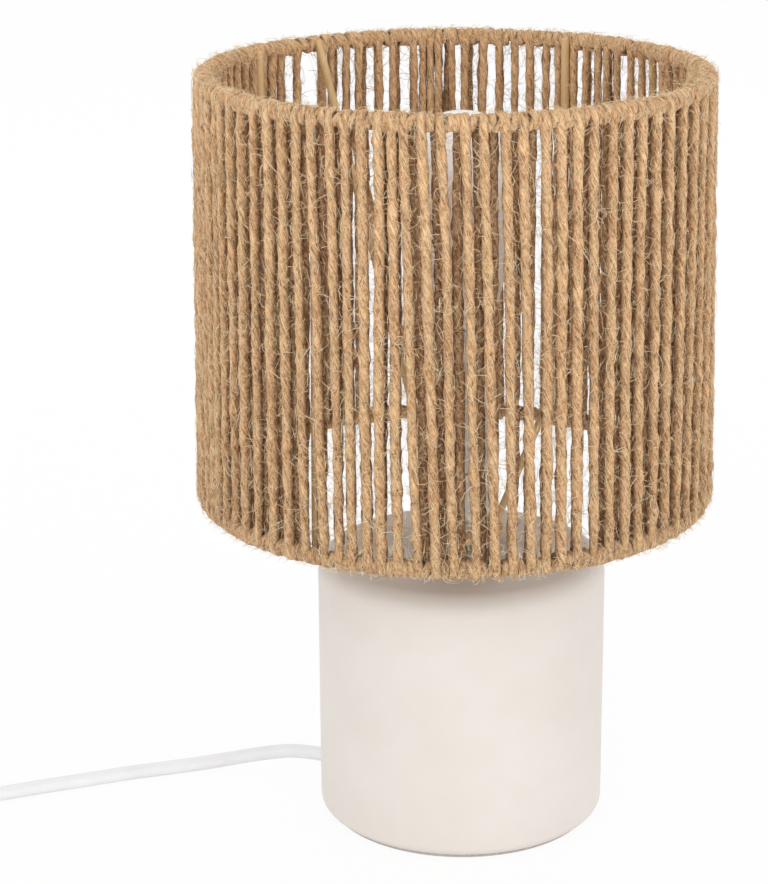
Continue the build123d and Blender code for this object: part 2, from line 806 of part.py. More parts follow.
def nodes():
    """Every piece of the lamp, by the name of its node."""
    return {
        "ceramic_base": ceramic_base(),
        "felt_pad": felt_pad(),
        "cord_grommet": cord_grommet(),
        "threaded_stem": stem(),
        "inner_nut": Pos(0, 0, inner_nut_z) * hex_nut(inner_nut_t),
        "stem_nut": Pos(0, 0, stem_nut_z) * hex_nut(stem_nut_t),
        "seat_washer": seat_washer(),
        "holder_cap": holder_cap(),
        "holder_skirt": holder_skirt(),
        "holder_insert": holder_insert(),
        "socket_shell": socket_shell(),
        "socket_centre_contact": centre_contact(),
        "lead_inside": lead_inside(),
        "bulb_dome": bulb_dome(),
        "bulb_body": bulb_body(),
        "bulb_screw_cap": bulb_screw_cap(),
        "bulb_tip_contact": bulb_tip(),
        "shade_carrier_plate": carrier_plate(),
        "shade_arms": spider_arms(),
        "shade_struts": shade_struts(),
        "shade_top_ring": wire_ring(ring_high_r, ring_high_z),
        "shade_bottom_ring": wire_ring(ring_low_r, ring_low_z),
        "jute_winding": jute_winding(),
        "cord_to_switch": cord_stretch("flex to the switch", lead_route),
        "cord_to_coil": cord_stretch("flex to the coil", link_route),
        "cord_coil": cord_coil(),
        "cord_to_plug": cord_stretch("flex to the plug", tail_route()),
        "coil_tie": coil_tie(),
        "switch_base": switch_base(),
        "switch_cover": switch_cover(),
        "switch_rocker": switch_rocker(),
        "switch_contacts": switch_contacts(),
        "plug_body": plug_body(),
        "plug_pins": plug_pins(),
    }


os.makedirs("parts", exist_ok=True)
for name, shape in nodes().items():
    export_step(shape, f"parts/{name}.step")
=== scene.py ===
import math

import bpy
import numpy as np
from mathutils import Matrix, Vector


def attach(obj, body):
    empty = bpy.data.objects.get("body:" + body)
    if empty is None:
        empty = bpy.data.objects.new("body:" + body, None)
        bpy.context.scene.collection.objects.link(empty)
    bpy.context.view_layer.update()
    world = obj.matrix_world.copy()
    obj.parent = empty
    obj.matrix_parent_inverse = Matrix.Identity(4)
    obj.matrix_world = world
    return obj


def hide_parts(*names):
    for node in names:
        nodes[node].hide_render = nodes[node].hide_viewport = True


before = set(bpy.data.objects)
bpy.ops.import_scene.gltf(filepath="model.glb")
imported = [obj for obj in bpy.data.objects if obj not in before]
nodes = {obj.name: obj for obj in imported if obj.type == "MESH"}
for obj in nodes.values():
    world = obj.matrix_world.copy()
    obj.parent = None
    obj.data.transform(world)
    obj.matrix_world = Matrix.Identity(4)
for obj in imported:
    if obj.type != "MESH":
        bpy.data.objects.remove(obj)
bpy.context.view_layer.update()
rng = np.random.default_rng(7)

# Sizes of the lamp, in metres
SHADE_X = -0.0029
RING_LOW_R = 0.0964
RING_HIGH_R = 0.0936
RING_LOW_Z = 0.1356
RING_HIGH_Z = 0.2954
WIRE_R = 0.0015
WRAP_R = 0.0036
STRING_R = 0.00165
BASE_R = 0.0565
BASE_H = 0.108
CORD_R = 0.0029

# Degrees clockwise from +Y of the shade's upright struts and of the arms to its top ring
STRUT_ANGLES = (31.0, -56.0, 120.0, 214.0)
ARM_ANGLES = (-35.0, 85.0, 205.0)

# Where the flex goes, in metres, and the band round its coil, in millimetres
EXIT_TURN = math.radians(156)
EXIT_Z = 0.0085
SWITCH_TURN = math.radians(200)
SWITCH_X = -0.236
SWITCH_Y = -0.0155
SWITCH_FLEX_Z = 0.008
SWITCH_LENGTH = 0.06
COIL_X = -0.339
COIL_Y = -0.056
COIL_R = 0.0425
COIL_STEP = 0.0063
TIE_IN, TIE_OUT, TIE_LOW, TIE_HIGH, TIE_THICK = 20.4, 45.7, 0.625, 13.1, 0.5

# The camera fitted to the photograph
CAMERA_PLACE = (-0.03015, -0.96396, 0.46134)
CAMERA_PITCH = math.radians(17.77)
CAMERA_ROLL = math.radians(0.406)
CAMERA_LENS = 121.97

# The strings' thickness, as shares of STRING_R, between the degrees of the rear and elsewhere
REAR = (28, 138)
REAR_THICKNESS = (0.84, 0.98)
THICKNESS = (1.0, 1.2)

# The loose fibres on each string and on each turn of the wraps
HAIRS_OUTSIDE = 330
HAIRS_INSIDE = 70
HAIRS_TOP_WRAP = 9
HAIRS_LOW_WRAP = 11


# ---------------------------------------------------------------- shader nodes
def material(name):
    mat = bpy.data.materials.new(name)
    mat.use_nodes = True
    tree = mat.node_tree
    shader = tree.nodes["Principled BSDF"]
    return mat, tree, shader


def add(tree, kind, **values):
    node = tree.nodes.new(kind)
    for key, value in values.items():
        setattr(node, key, value)
    return node


def coords(tree, scale=(1, 1, 1)):
    place = add(tree, "ShaderNodeTexCoord")
    mapping = add(tree, "ShaderNodeMapping")
    mapping.inputs["Scale"].default_value = scale
    tree.links.new(place.outputs["Object"], mapping.inputs["Vector"])
    return mapping.outputs["Vector"]


def noise(tree, scale, detail, roughness=0.55, stretch=(1, 1, 1)):
    node = add(tree, "ShaderNodeTexNoise")
    node.inputs["Scale"].default_value = scale
    node.inputs["Detail"].default_value = detail
    node.inputs["Roughness"].default_value = roughness
    tree.links.new(coords(tree, stretch), node.inputs["Vector"])
    return node.outputs["Fac"]


def ramp(tree, source, stops):
    node = add(tree, "ShaderNodeValToRGB")
    band = node.color_ramp
    while len(band.elements) < len(stops):
        band.elements.new(0.5)
    for element, (place, colour) in zip(band.elements, stops):
        element.position = place
        element.color = (*colour, 1)
    tree.links.new(source, node.inputs["Fac"])
    return node.outputs["Color"]


def span(tree, source, low, high):
    """The source value from 0 to 1, spread from low to high."""
    node = add(tree, "ShaderNodeMapRange")
    node.inputs["To Min"].default_value = low
    node.inputs["To Max"].default_value = high
    tree.links.new(source, node.inputs["Value"])
    return node.outputs["Result"]


def multiplied(tree, factor, first, second):
    """The first colour output times the second, by a constant share."""
    node = add(tree, "ShaderNodeMix", data_type="RGBA", blend_type="MULTIPLY")
    node.inputs[0].default_value = factor
    tree.links.new(first, node.inputs[6])
    tree.links.new(second, node.inputs[7])
    return node.outputs[2]


def bumped(tree, shader, source, strength, distance):
    node = add(tree, "ShaderNodeBump")
    node.inputs["Strength"].default_value = strength
    node.inputs["Distance"].default_value = distance
    tree.links.new(source, node.inputs["Height"])
    tree.links.new(node.outputs["Normal"], shader.inputs["Normal"])


def soft_surface(name, dark, light, scale, rough, bump, distance, stretch=(1, 1, 1), **values):
    """A moulded, glazed or painted surface: two close tones, uneven gloss and a fine relief."""
    mat, tree, shader = material(name)
    tone = noise(tree, scale, 4, 0.6, stretch)
    tree.links.new(ramp(tree, tone, [(0.3, dark), (0.7, light)]), shader.inputs["Base Color"])
    tree.links.new(span(tree, noise(tree, scale * 2.3, 3), *rough), shader.inputs["Roughness"])
    bumped(tree, shader, noise(tree, scale * 9, 4, 0.6, stretch), bump, distance)
    for key, value in values.items():
        shader.inputs[key.replace("_", " ")].default_value = value
    return mat


def lay_noise(tree, stretch, scale, detail, rough=0.5):
    """Noise that runs with the plies of a yarn, from the lay stored on its mesh."""
    lay = add(tree, "ShaderNodeAttribute", attribute_name="lay")
    mapping = add(tree, "ShaderNodeMapping")
    mapping.inputs["Scale"].default_value = stretch
    tree.links.new(lay.outputs["Vector"], mapping.inputs["Vector"])
    node = add(tree, "ShaderNodeTexNoise")
    node.inputs["Scale"].default_value = scale
    node.inputs["Detail"].default_value = detail
    node.inputs["Roughness"].default_value = rough
    tree.links.new(mapping.outputs["Vector"], node.inputs["Vector"])
    return node.outputs["Fac"]


def threads(tree, source, width):
    """Thin wandering lines, where a noise passes its middle value."""
    return ramp(tree, source, [(0.5 - width, (0, 0, 0)), (0.5, (1, 1, 1)), (0.5 + width, (0, 0, 0))])


def jute_material(name):
    """Natural jute: each string its own tone, fibres along the twist, and loose pale ones across them, with
    painted shade where the yarns face one another, in the grooves of the plies and towards the bottom, and
    painted highlight on the open sides and the ridges.
    """
    mat, tree, shader = material(name)
    string = lay_noise(tree, (0.05, 0.05, 9), 1.5, 2)
    bundle = lay_noise(tree, (0.9, 0.9, 60), 1.7, 3, 0.65)
    fibre = lay_noise(tree, (2.1, 2.1, 150), 1.7, 4, 0.8)
    patch = noise(tree, 700, 3, 0.7, (1, 1, 0.5))
    tone = ramp(tree, string, [
        (0.28, (0.58, 0.335, 0.165)), (0.42, (0.71, 0.44, 0.225)), (0.52, (0.78, 0.51, 0.275)),
        (0.62, (0.75, 0.51, 0.27)), (0.74, (0.77, 0.46, 0.235)),
    ])
    # Painted shade and painted light: each yarn darker on the sides that face other yarns and lighter on
    # the side that faces the open, by the stored open share.
    painted_shade_facing = add(tree, "ShaderNodeAttribute", attribute_name="open").outputs["Fac"]
    painted_crevice_shade = ramp(tree, painted_shade_facing, [
        (0.0, (0.56, 0.45, 0.35)), (0.42, (0.60, 0.50, 0.41)), (0.74, (0.96, 0.93, 0.91)),
        (1.0, (1.12, 1.12, 1.12)),
    ])
    # The bundle and fibre ramps are partly the yarn's own tone and partly painted shade in the grooves and
    # painted highlight on the ridges of the same noise that makes the bump.
    shade = ramp(tree, bundle, [
        (0.32, (0.56, 0.46, 0.37)), (0.47, (0.93, 0.90, 0.88)), (0.62, (1.12, 1.14, 1.16)),
    ])
    fibre_tone_and_painted_light = ramp(tree, fibre, [
        (0.36, (0.30, 0.20, 0.13)), (0.46, (0.82, 0.77, 0.72)), (0.54, (1.08, 1.08, 1.07)),
        (0.66, (1.42, 1.50, 1.62)),
    ])
    mottle = ramp(tree, patch, [
        (0.33, (0.50, 0.40, 0.31)), (0.44, (0.97, 0.95, 0.93)), (0.64, (1.16, 1.17, 1.18)),
    ])
    # Painted shade: the jute darker towards the bottom of the shade.
    axes = add(tree, "ShaderNodeSeparateXYZ")
    tree.links.new(coords(tree), axes.inputs[0])
    level = add(tree, "ShaderNodeMapRange")
    level.inputs["From Min"].default_value = 0.125
    level.inputs["From Max"].default_value = 0.305
    tree.links.new(axes.outputs["Z"], level.inputs["Value"])
    painted_low_shade = ramp(tree, level.outputs["Result"], [
        (0.0, (0.76, 0.73, 0.70)), (0.09, (0.84, 0.80, 0.76)), (0.2, (0.91, 0.87, 0.83)),
        (0.7, (0.99, 0.96, 0.94)), (1.0, (1.06, 1.04, 1.04)),
    ])
    colour = multiplied(tree, 0.9, tone, painted_crevice_shade)
    colour = multiplied(tree, 1.0, colour, painted_low_shade)
    for layer in (shade, fibre_tone_and_painted_light, mottle):
        colour = multiplied(tree, 0.88, colour, layer)
    for scale, stretch, width in ((330, (1, 1, 0.8), 0.04), (520, (1.2, 1.2, 0.6), 0.05)):
        loose = threads(tree, noise(tree, scale, 1.5, 0.5, stretch), width)
        node = add(tree, "ShaderNodeMix", data_type="RGBA")
        tree.links.new(span(tree, loose, 0.0, 0.45), node.inputs[0])
        tree.links.new(colour, node.inputs[6])
        node.inputs[7].default_value = (0.90, 0.67, 0.40, 1)
        colour = node.outputs[2]
    tree.links.new(colour, shader.inputs["Base Color"])
    tree.links.new(span(tree, fibre, 0.75, 0.97), shader.inputs["Roughness"])
    shader.inputs["Specular IOR Level"].default_value = 0.15
    shader.inputs["Sheen Weight"].default_value = 0.15
    shader.inputs["Sheen Roughness"].default_value = 0.6
    height = add(tree, "ShaderNodeMath", operation="ADD")
    tree.links.new(bundle, height.inputs[0])
    tree.links.new(fibre, height.inputs[1])
    total = add(tree, "ShaderNodeMath", operation="ADD")
    tree.links.new(height.outputs[0], total.inputs[0])
    tree.links.new(patch, total.inputs[1])
    bumped(tree, shader, total.outputs[0], 1.0, 0.0007)
    return mat


def fibre_material(name):
    mat, tree, shader = material(name)
    tone = noise(tree, 260, 2, 0.5)
    tree.links.new(ramp(tree, tone, [
        (0.34, (0.72, 0.45, 0.22)), (0.44, (0.95, 0.71, 0.42)), (0.56, (0.98, 0.85, 0.60)),
    ]), shader.inputs["Base Color"])
    shader.inputs["Roughness"].default_value = 0.8
    shader.inputs["Specular IOR Level"].default_value = 0.2
    return mat


def metal(name, dark, light, scale=160, rough=(0.25, 0.42), metallic=1.0):
    return soft_surface(name, dark, light, scale, rough, 0.12, 0.00005, (1, 1, 0.1), Metallic=metallic)


M = {
    "glaze": soft_surface("glaze", (0.775, 0.715, 0.658), (0.815, 0.762, 0.71), 24, (0.42, 0.55),
                          0.1, 0.0002),
    "felt": soft_surface("felt", (0.50, 0.46, 0.42), (0.66, 0.62, 0.57), 700, (0.9, 1.0), 0.6, 0.0003),
    "cord": soft_surface("cord", (0.84, 0.84, 0.86), (0.90, 0.90, 0.92), 60, (0.35, 0.5), 0.08, 0.0001),
    "zinc": metal("zinc", (0.42, 0.40, 0.36), (0.60, 0.58, 0.54)),
    "brass": metal("brass", (0.62, 0.43, 0.16), (0.80, 0.60, 0.28)),
    "nickel": metal("nickel", (0.62, 0.60, 0.57), (0.78, 0.76, 0.73), rough=(0.15, 0.28)),
    "wire": metal("wire", (0.60, 0.385, 0.175), (0.78, 0.55, 0.29), 300, (0.5, 0.68), metallic=0.12),
    "holder": soft_surface("holder", (0.56, 0.53, 0.48), (0.64, 0.61, 0.56), 50, (0.4, 0.55), 0.1, 0.0001),
    "bulb": soft_surface("bulb", (0.88, 0.80, 0.72), (0.93, 0.86, 0.79), 45, (0.3, 0.42), 0.05, 0.0001),
    "opal": soft_surface("opal", (0.96, 0.92, 0.88), (0.98, 0.95, 0.92), 30, (0.25, 0.35), 0.04, 0.0001,
                         Subsurface_Weight=0.2, Subsurface_Scale=0.01),
    "switch": soft_surface("switch", (0.80, 0.80, 0.81), (0.86, 0.86, 0.87), 80, (0.28, 0.4), 0.12, 0.0001),
    "jute": jute_material("jute"),
    "fibre": fibre_material("jute_fibre"),
}


# ---------------------------------------------------------------- mesh helpers
def finished(mesh, mat, body):
    """The mesh as a piece of its own name that moves with a body."""
    mesh.materials.append(M[mat])
    piece = bpy.data.objects.new(mesh.name, mesh)
    bpy.context.scene.collection.objects.link(piece)
    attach(piece, body)
    return piece


def dressed(mesh, mat, body, node):
    """A piece that takes the place of a CAD node."""
    piece = finished(mesh, mat, body)
    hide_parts(node)
    return piece


def grid_mesh(name, blocks):
    """One mesh of many tubes. A block is points as rows x columns x 3 with its columns closed, whether its
    rows close too, whether its ends get a face, and, for a yarn, the lay of every point."""
    verts, faces, lays, size = [], [], [], 0
    for points, closed, capped, *lay in blocks:
        rows, cols = points.shape[:2]
        verts.append(points.reshape(-1, 3))
        if lay:
            lays.append(lay[0].reshape(-1, 4))
        index = np.arange(rows * cols).reshape(rows, cols) + size
        here = index if closed else index[:-1]
        after = np.roll(index, -1, axis=0) if closed else index[1:]
        quads = np.stack([here, np.roll(here, -1, axis=1), np.roll(after, -1, axis=1), after], axis=-1)
        faces.extend(quads.reshape(-1, 4).tolist())
        if capped:
            faces.append(index[0][::-1].tolist())
            faces.append(index[-1].tolist())
        size += rows * cols
    mesh = bpy.data.meshes.new(name)
    mesh.from_pydata(np.concatenate(verts).tolist(), [], faces)
    mesh.polygons.foreach_set("use_smooth", [True] * len(mesh.polygons))
    if lays:
        values = np.concatenate(lays).astype(np.float32)
        layer = mesh.attributes.new("lay", "FLOAT_VECTOR", "POINT")
        layer.data.foreach_set("vector", values[:, :3].ravel())
        # How far each point faces the open, from which the jute material paints shade.
        layer = mesh.attributes.new("open", "FLOAT", "POINT")
        layer.data.foreach_set("value", values[:, 3].ravel())
    mesh.update()
    return mesh


def lathe(name, profile, segments, closed=False):
    """A profile of radius and height turned about the Z axis. An open one gets a face at each end."""
    turn = np.linspace(0, 2 * math.pi, segments, endpoint=False)
    profile = np.array(profile)
    radius = profile[:, 0][:, None]
    points = np.stack([
        radius * np.cos(turn), radius * np.sin(turn), np.repeat(profile[:, 1][:, None], segments, axis=1),
    ], axis=-1)
    return grid_mesh(name, [(points, closed, not closed)])


def arc(centre, radius, start, end, steps):
    turns = np.radians(np.linspace(start, end, steps + 1))
    return [(centre[0] + radius * math.cos(t), centre[1] + radius * math.sin(t)) for t in turns]


def rounded(profile, radius):
    """The outline with every corner rounded but its first and last point."""
    steps = 4
    points = [np.array(p, float) for p in profile]
    result = [tuple(points[0])]
    for before, here, after in zip(points, points[1:], points[2:]):
        first, second = before - here, after - here
        reach = min(radius, 0.45 * np.linalg.norm(first), 0.45 * np.linalg.norm(second))
        start = here + first / np.linalg.norm(first) * reach
        end = here + second / np.linalg.norm(second) * reach
        for share in np.linspace(0, 1, steps + 1):
            result.append(tuple((1 - share)**2 * start + 2 * share * (1 - share) * here + share**2 * end))
    result.append(tuple(points[-1]))
    return result


def straight_tube(start, end, radius, sides, dome):
    """A bar between two points, its ends rounded over the length of dome."""
    start, end = np.array(start, float), np.array(end, float)
    axis = (end - start) / np.linalg.norm(end - start)
    side = np.cross(axis, (0, 1, 0)) if abs(axis[1]) < 0.9 else np.cross(axis, (1, 0, 0))
    side /= np.linalg.norm(side)
    other = np.cross(axis, side)
    turn = np.linspace(0, 2 * math.pi, sides, endpoint=False)
    circle = np.cos(turn)[:, None] * side + np.sin(turn)[:, None] * other
    stations = [
        (start, radius * 0.6), (start + axis * dome * 0.5, radius * 0.93), (start + axis * dome, radius),
        (end - axis * dome, radius), (end - axis * dome * 0.5, radius * 0.93), (end, radius * 0.6),
    ]
    return np.stack([place + circle * size for place, size in stations])


def sections(rows, columns):
    """Rounded rectangles stacked along Z: each row gives height, half length, half width and squareness."""
    turn = np.linspace(0, 2 * math.pi, columns, endpoint=False) + math.pi / columns
    cos, sin = np.cos(turn), np.sin(turn)
    points = []
    for height, half_l, half_w, power in rows:
        x = half_l * np.sign(cos) * np.abs(cos) ** (2 / power)
        y = half_w * np.sign(sin) * np.abs(sin) ** (2 / power)
        points.append(np.stack([x, y, np.full(columns, height)], axis=-1))
    return np.array(points)


def placed(points, origin, x_dir, z_dir):
    """Points drawn about Z, moved so that Z and X lie along the given directions."""
    x_dir, z_dir = Vector(x_dir).normalized(), Vector(z_dir).normalized()
    axes = np.array([x_dir, z_dir.cross(x_dir), z_dir])
    return points @ axes + np.array(origin)


# ---------------------------------------------------------------- camera
def add_camera():
    ahead = Vector((0, math.cos(CAMERA_PITCH), -math.sin(CAMERA_PITCH)))
    level = Vector((1, 0, 0))
    above = Vector((0, math.sin(CAMERA_PITCH), math.cos(CAMERA_PITCH)))
    right = math.cos(CAMERA_ROLL) * level - math.sin(CAMERA_ROLL) * above
    up = math.sin(CAMERA_ROLL) * level + math.cos(CAMERA_ROLL) * above
    data = bpy.data.cameras.new("camera")
    data.sensor_fit = "HORIZONTAL"
    data.sensor_width = 36
    data.lens = CAMERA_LENS
    data.clip_end = 50
    camera = bpy.data.objects.new("camera", data)
    turned = Matrix((right, up, -ahead)).transposed().to_4x4()
    camera.matrix_world = Matrix.Translation(CAMERA_PLACE) @ turned
    bpy.context.scene.collection.objects.link(camera)
    bpy.context.scene.camera = camera


add_camera()


# ---------------------------------------------------------------- flex
EXIT_DIR = Vector((math.cos(EXIT_TURN), math.sin(EXIT_TURN), 0))
SWITCH_DIR = Vector((math.cos(SWITCH_TURN), math.sin(SWITCH_TURN), 0))


def cord_points():
    """The flex's control points: from the base to the switch, the coil's two layers, and on to the plug."""
    start = EXIT_DIR * 0.061 + Vector((0, 0, EXIT_Z))
    heading = SWITCH_DIR
    switch_in = Vector((SWITCH_X, SWITCH_Y, SWITCH_FLEX_Z))
    switch_out = switch_in + heading * SWITCH_LENGTH
    points = [
        start,
        start + EXIT_DIR * 0.012,
        Vector((-0.0785, 0.0316, 0.0066)),
        Vector((-0.091, 0.0322, 0.0044)),
        Vector((-0.104, 0.0303, CORD_R)),
        Vector((-0.119, 0.0254, CORD_R)),
        Vector((-0.136, 0.0206, CORD_R)),
        Vector((-0.154, 0.0136, CORD_R)),
        Vector((-0.171, 0.0078, CORD_R)),
        Vector((-0.186, 0.0014, CORD_R)),
        Vector((-0.199, -0.0032, 0.0039)),
        Vector((-0.2122, -0.0074, 0.0062)),
        switch_in - heading * 0.012,
        switch_in,
        switch_out,
        switch_out + heading * 0.012,
    ]
    coil_z = CORD_R + 0.0005 + 0.00025
    here = Vector((COIL_X, COIL_Y, coil_z))
    points += [here - heading * 0.0178, here - heading * 0.0058]
    radii = [COIL_R - index * COIL_STEP / 2 for index in range(6)]
    sequence = [(radius, 0.0) for radius in radii] + [(radii[-1] - COIL_STEP / 2, COIL_STEP)]
    sequence += [(radius, 0.0) for radius in reversed(radii)]
    for radius, rise in sequence:
        side = Vector((heading.y, -heading.x, 0))
        centre = here + side * radius
        reach = radius / 0.966
        for index in range(6):
            turn = math.radians(15 + 30 * index)
            point = centre - side * reach * math.cos(turn) + heading * reach * math.sin(turn)
            points.append(point + Vector((0, 0, rise * (index + 0.5) / 6)))
        here = here + side * (2 * radius) + Vector((0, 0, rise))
        heading = -heading
    side = Vector((-heading.y, heading.x, 0))
    start = here + heading * 0.0058
    drop = start.z - 0.0067
    points += [
        start,
        start + heading * 0.012,
        start + heading * 0.0264 - side * 0.0014 - Vector((0, 0, drop / 2)),
        start + heading * 0.0408 - side * 0.002 - Vector((0, 0, drop)),
        start + heading * 0.054 - side * 0.002 - Vector((0, 0, drop)),
    ]
    return points


def add_flex():
    data = bpy.data.curves.new("flex", "CURVE")
    data.dimensions = "3D"
    spline = data.splines.new("NURBS")
    points = cord_points()
    spline.points.add(len(points) - 1)
    for slot, point in zip(spline.points, points):
        slot.co = (*point, 1)
    spline.order_u = 3
    spline.use_endpoint_u = True
    spline.resolution_u = 6
    data.bevel_depth = CORD_R
    data.bevel_resolution = 5
    data.use_fill_caps = True
    data.materials.append(M["cord"])
    flex = bpy.data.objects.new("flex", data)
    bpy.context.scene.collection.objects.link(flex)
    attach(flex, "lamp_base")
    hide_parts("cord_to_switch", "cord_to_coil", "cord_coil", "cord_to_plug")
    return flex, points


flex, flex_points = add_flex()


# ---------------------------------------------------------------- base, stem, holder and bulb
def add_base():
    shoulder, foot, wall, plate = 0.008, 0.004, 0.006, 0.006
    low = 0.0015
    outline = [(BASE_R - wall, low)]
    outline += arc((BASE_R - foot, low + foot), foot, -90, 0, 8)
    outline += arc((BASE_R - shoulder, BASE_H - shoulder), shoulder, 0, 90, 14)
    outline += [(0.0053, BASE_H), (0.0053, BASE_H - plate), (BASE_R - wall, BASE_H - plate)]
    mesh = lathe("glazed_base", outline, 160, closed=True)
    dressed(mesh, "glaze", "lamp_base", "ceramic_base")


add_base()


def add_bulb():
    centre_z, radius, rim, rim_z = 0.2565, 0.0275, -25.87, 0.2445
    dome = [(0.0242, rim_z)] + arc((0, centre_z), radius, rim, 89.2, 26)
    dome = [(r, rim_z + (z - rim_z) * 0.952) for r, z in dome]
    dressed(lathe("opal_dome", dome, 96), "opal", "bulb", "bulb_dome")
    body = [(0.0030, 0.1780), (0.0036, 0.1780), (0.0066, 0.1832), (0.0064, 0.1836), (0.0060, 0.1836)]
    body += [(0.0060, 0.2008), (0.0125, 0.2008), (0.0132, 0.2014), (0.0132, 0.2038)]
    (neck_r, neck_z), (wide_r, wide_z) = (0.0132, 0.2038), (0.02474, 0.2444)
    for share in np.linspace(0.08, 1, 14):
        body.append((neck_r + (wide_r - neck_r) * share**1.2, neck_z + (wide_z - neck_z) * share))
    body += [(0.0240, 0.2446)]
    dressed(lathe("bulb_shell", body, 96), "bulb", "bulb", "bulb_body")
    pitch, low, high = 0.00282, 0.1838, 0.2008
    turn = np.linspace(0, 2 * math.pi, 48, endpoint=False)[None, :]
    rows = []
    for inset, steps in ((0.0, range(49)), (0.00035, range(48, -1, -1))):
        for step in steps:
            share = step / 48
            height = low + (high - low) * share + 0 * turn
            fade = min(1.0, 6 * share, 6 * (1 - share))
            size = 0.00658 + 0.00034 * fade * np.cos(2 * math.pi * height / pitch - turn) - inset
            rows.append(np.stack([size * np.cos(turn), size * np.sin(turn), height], axis=-1)[0])
    mesh = grid_mesh("bulb_thread", [(np.array(rows), True, False)])
    dressed(mesh, "nickel", "bulb", "bulb_screw_cap")


add_bulb()


def add_holder():
    cap = rounded([
        (0.0052, 0.1175), (0.0080, 0.1175), (0.0080, 0.1210), (0.0140, 0.1245), (0.0140, 0.1425),
        (0.0136, 0.1430), (0.0123, 0.1430), (0.0123, 0.1270), (0.0052, 0.1270),
    ], 0.0008)
    mesh = lathe("holder_cap_shell", cap, 72, closed=True)
    dressed(mesh, "holder", "lamp_base", "holder_cap")
    skirt = rounded([
        (0.0082, 0.1390), (0.0121, 0.1390), (0.0121, 0.1430), (0.0126, 0.1430), (0.0126, 0.1465),
        (0.0136, 0.1465), (0.0136, 0.1990), (0.0133, 0.2000), (0.0118, 0.2000), (0.0118, 0.1405),
        (0.0082, 0.1405),
    ], 0.0006)
    mesh = lathe("holder_skirt_shell", skirt, 72, closed=True)
    dressed(mesh, "holder", "lamp_base", "holder_skirt")


add_holder()


# ---------------------------------------------------------------- switch, plug, coil tie and grommet
def fitting(name, node, mat, body, blocks, frame_of):
    """A small piece drawn in millimetres in a frame given by its origin, X and Z directions."""
    blocks = [(placed(points * 0.001, *frame_of), closed, capped) for points, closed, capped in blocks]
    return dressed(grid_mesh(name, blocks), mat, body, node)


def add_switch():
    middle = Vector((SWITCH_X, SWITCH_Y, 0)) + SWITCH_DIR * (SWITCH_LENGTH / 2)
    frame_of = (middle, SWITCH_DIR, (0, 0, 1))
    tray = [
        (0, 28.4, 10.9), (0.15, 29.2, 11.7), (0.6, 29.75, 12.25), (1.4, 30, 12.5), (7.7, 30, 12.5),
        (7.95, 29.8, 12.3), (7.95, 28.4, 10.9), (7.8, 28.2, 10.7), (1.8, 28.2, 10.7),
    ]
    lid = [
        (8.05, 29.8, 12.3), (8.3, 30, 12.5), (14.6, 30, 12.5), (15.7, 29.75, 12.25), (16.3, 29.1, 11.6),
        (16.5, 28.2, 10.7),
    ]
    window = [(16.5, 11.5, 6.8), (16.5, 11.3, 6.6), (16.2, 10.75, 6.05), (14.7, 10.7, 6.0)]
    under = [(14.7, 28.2, 10.7), (8.05, 28.2, 10.7)]
    rows = [(*row, 7) for row in lid] + [(*row, 14) for row in window] + [(*row, 7) for row in under]
    base = fitting("switch_tray", "switch_base", "switch", "lamp_base",
                   [(sections([(*row, 7) for row in tray], 96), False, True)], frame_of)
    cover = fitting("switch_lid", "switch_cover", "switch", "lamp_base",
                    [(sections(rows, 96), True, False)], frame_of)
    pivot_z = 12.6
    reach = np.linspace(-9.5, 9.5, 39)
    past_crest = np.maximum(0, np.abs(reach) - 8.3) / 1.2
    top = np.where(past_crest > 0, 5.6 - 0.6 * past_crest**1.5, 4.6 + (reach / 8.3) ** 2)
    low = -1.8 + 0.8 * (reach / 9.5) ** 2
    outline = np.concatenate([np.stack([reach, top], axis=-1), np.stack([reach, low], axis=-1)[::-1]])
    tilt = math.radians(7)
    rows = []
    for y, inset in ((-5.7, 0.4), (-5.55, 0.15), (-5.3, 0), (5.3, 0), (5.55, 0.15), (5.7, 0.4)):
        x = outline[:, 0] * (1 - inset / 9.5)
        z = 1.9 + (outline[:, 1] - 1.9) * (1 - inset / 3.4)
        rows.append(np.stack([
            x * math.cos(tilt) + z * math.sin(tilt), np.full(len(x), y),
            pivot_z - x * math.sin(tilt) + z * math.cos(tilt),
        ], axis=-1))
    turn = np.linspace(0, 2 * math.pi, 20, endpoint=False)
    pin = np.array([np.stack([1.2 * np.cos(turn), np.full(20, y), pivot_z - 1.2 * np.sin(turn)], axis=-1)
                    for y in (-7.0, 7.0)])
    key = fitting("switch_key", "switch_rocker", "switch", "rocker",
                  [(np.array(rows), False, True), (pin, False, True)], frame_of)
    return [base, cover, key]


